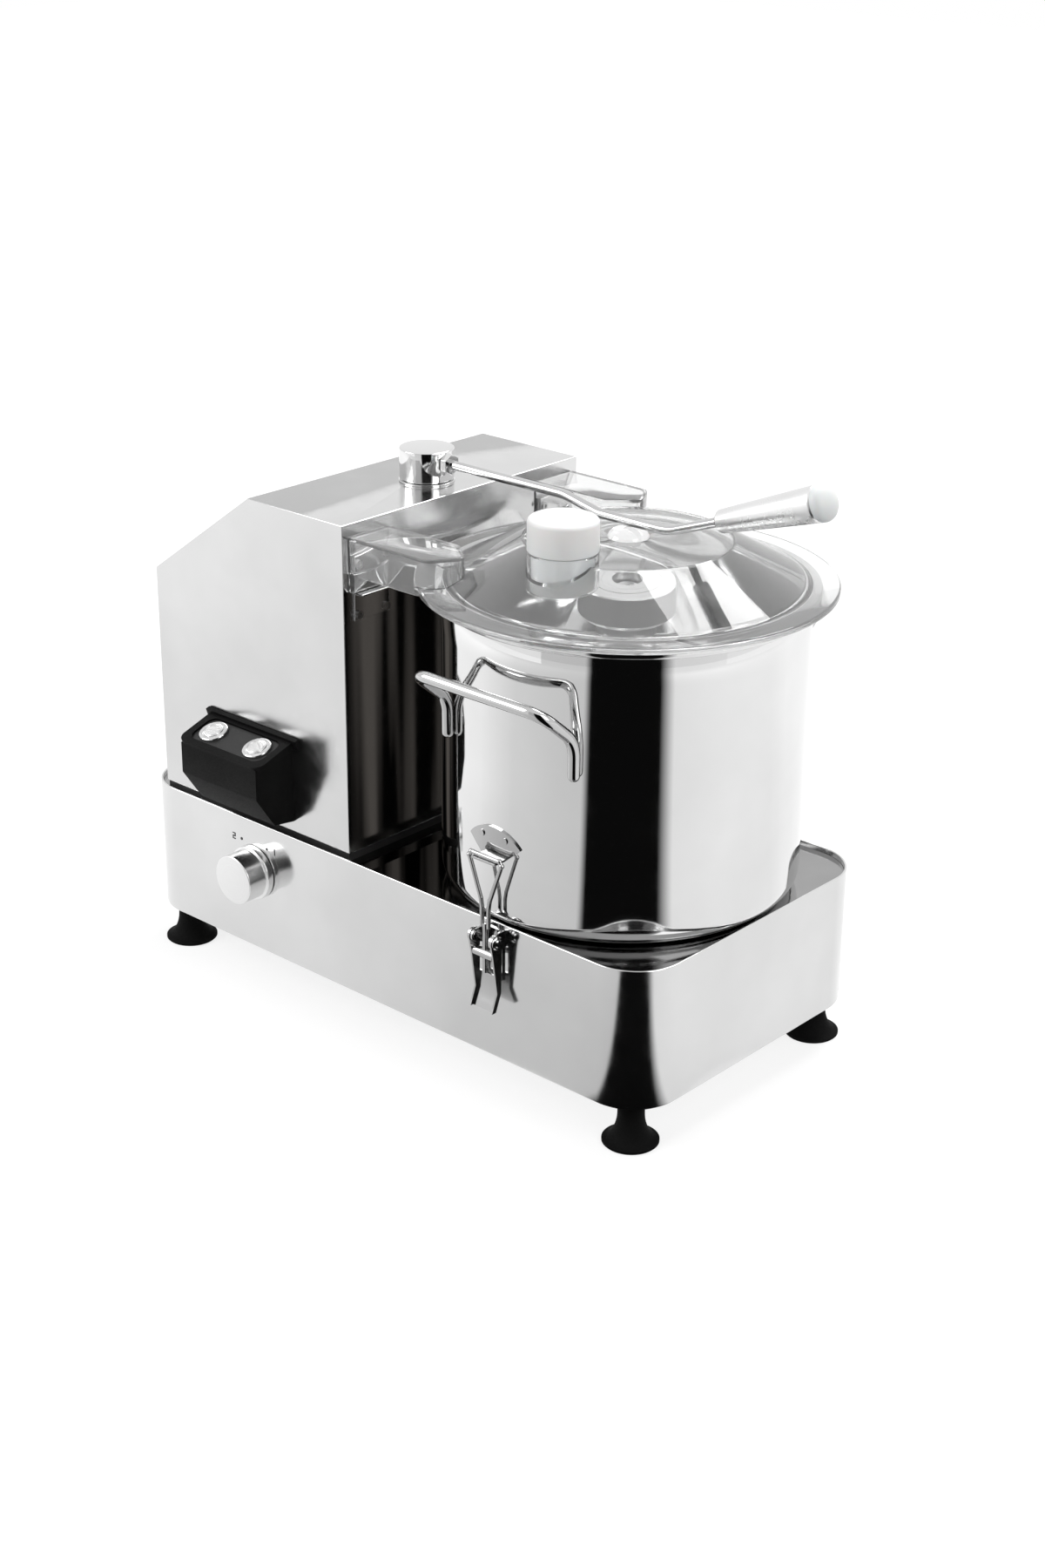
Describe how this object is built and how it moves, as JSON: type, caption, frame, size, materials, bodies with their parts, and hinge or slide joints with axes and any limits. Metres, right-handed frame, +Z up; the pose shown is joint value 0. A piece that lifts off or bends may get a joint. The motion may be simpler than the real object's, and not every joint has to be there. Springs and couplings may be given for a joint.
{
  "type": "vegetable cutting machine",
  "caption": "Bench bowl cutter: motor tower and clamped steel bowl on a tray base, turning blades, clear lid with feed chute and pusher, swinging locking arm, push buttons and speed knob",
  "frame": {"origin": "On the floor plane, under the centre of the whole machine's bounding box", "axes": "+X runs from the motor tower to the bowl, -Y is the front with the buttons, knob and front latch, +Z is up"},
  "size_m": [0.5172, 0.2988, 0.4304],
  "materials": {
    "satin_steel": "satin sheet steel",
    "tower_steel": "satin sheet steel",
    "rubber": "matt black rubber",
    "zinc_steel": "plain bright steel",
    "black_plastic": "fine-grained black plastic",
    "button_ring": "polished steel",
    "start_face": "satin steel",
    "stop_face": "satin steel",
    "knob_metal": "satin turned metal",
    "print": "printed marks",
    "polished_steel": "polished steel",
    "grip_metal": "polished turned metal",
    "white_plastic": "smooth white plastic",
    "clear_plastic": "clear moulded plastic",
    "seal_silicone": "pale translucent silicone",
    "blade_steel": "ground steel",
    "carrier_metal": "polished turned metal",
    "bearing_steel": "ground steel",
    "cast_alloy": "cast and turned metal",
    "motor_iron": "painted cast iron",
    "board": "green circuit board"
  },
  "bodies": {
    "machine": {"base_shell": "satin_steel", "deck_plate": "satin_steel", "bottom_cover": "satin_steel", "feet": "rubber", "foot_screws": "zinc_steel", "tower_seal": "rubber", "motor_tower": "tower_steel", "cable_gland": "black_plastic", "control_box": "black_plastic", "button_plate": "black_plastic", "button_bezels": "button_ring", "button_switches": "black_plastic", "speed_switch": "black_plastic", "dial_marks": "print", "lid_rests": "polished_steel", "lid_sensors": "black_plastic", "guard_screws": "zinc_steel", "arm_post": "zinc_steel", "arm_washer": "polished_steel", "lid": "clear_plastic", "lid_seal": "seal_silicone", "bowl": "polished_steel", "bowl_handles": "polished_steel", "strike_plates": "polished_steel", "strike_rivets": "zinc_steel", "latch_brackets": "polished_steel", "lever_pins": "zinc_steel", "spindle_bearings": "bearing_steel", "bearing_housing": "cast_alloy", "motor_body": "motor_iron", "drive_belt": "rubber", "control_board": "board"},
    "arm": {"arm_hub": "polished_steel", "arm_nut": "polished_steel", "arm_rod": "polished_steel", "arm_grip": "grip_metal", "arm_cap": "white_plastic"},
    "cutter": {"blade_carrier": "carrier_metal", "blade_lower": "blade_steel", "blade_upper": "blade_steel", "blade_spacer": "blade_steel", "blade_clamp": "blade_steel", "carrier_bolt": "blade_steel", "spindle": "zinc_steel", "spindle_pulley": "cast_alloy"},
    "rotor": {"motor_shaft": "zinc_steel", "motor_pulley": "cast_alloy"},
    "knob": {"speed_knob": "knob_metal", "knob_shaft": "zinc_steel"},
    "start_push": {"start_button": "start_face"},
    "stop_push": {"stop_button": "stop_face"},
    "pusher_body": {"pusher": "white_plastic"},
    "front_lever": {"lever_front": "polished_steel"},
    "front_bail": {"cross_bar_front": "polished_steel", "bail_front": "polished_steel"},
    "rear_lever": {"lever_rear": "polished_steel"},
    "rear_bail": {"cross_bar_rear": "polished_steel", "bail_rear": "polished_steel"}
  },
  "joints": [
    {"name": "arm_swing", "type": "hinge", "parent": "machine", "child": "arm", "pos_m": [-0.07936, 0.00169, 0.379], "axis": [0, 0, 1], "range_deg": [0, 100]},
    {"name": "blade_spin", "type": "hinge", "parent": "machine", "child": "cutter", "pos_m": [0.10144, 0.00169, 0.2], "axis": [0, 0, 1], "continuous": true},
    {"name": "motor_spin", "type": "hinge", "parent": "machine", "child": "rotor", "pos_m": [-0.13871, 0.00169, 0.1], "axis": [0, 0, 1], "continuous": true},
    {"name": "knob_turn", "type": "hinge", "parent": "machine", "child": "knob", "pos_m": [-0.13556, -0.11906, 0.0934], "axis": [0, -1, 0], "range_deg": [-32, 32]},
    {"name": "start_press", "type": "slide", "parent": "machine", "child": "start_push", "axis": [0, 0.314, -0.9494], "range_m": [0, 0.0018], "stiffness_N_per_m": 400},
    {"name": "stop_press", "type": "slide", "parent": "machine", "child": "stop_push", "axis": [0, 0.314, -0.9494], "range_m": [0, 0.0018], "stiffness_N_per_m": 400},
    {"name": "pusher_lift", "type": "slide", "parent": "machine", "child": "pusher_body", "axis": [0, 0, 1], "range_m": [0, 0.07]},
    {"name": "front_lever_turn", "type": "hinge", "parent": "machine", "child": "front_lever", "pos_m": [0.09644, -0.12806, 0.123], "axis": [-1, 0, 0], "range_deg": [0, 85]},
    {"name": "front_bail_turn", "type": "hinge", "parent": "front_lever", "child": "front_bail", "pos_m": [0.09644, -0.12756, 0.112], "axis": [-1, 0, 0], "range_deg": [-119, 0]},
    {"name": "rear_lever_turn", "type": "hinge", "parent": "machine", "child": "rear_lever", "pos_m": [0.09644, 0.13144, 0.123], "axis": [1, 0, 0], "range_deg": [0, 85]},
    {"name": "rear_bail_turn", "type": "hinge", "parent": "rear_lever", "child": "rear_bail", "pos_m": [0.09644, 0.13094, 0.112], "axis": [1, 0, 0], "range_deg": [-119, 0]}
  ],
  "couplings": [
    {"joint": "motor_spin", "follows": "blade_spin", "ratio": 1.8772},
    {"joint": "front_bail_turn", "follows": "front_lever_turn", "ratio": -1.4},
    {"joint": "rear_bail_turn", "follows": "rear_lever_turn", "ratio": -1.4}
  ]
}
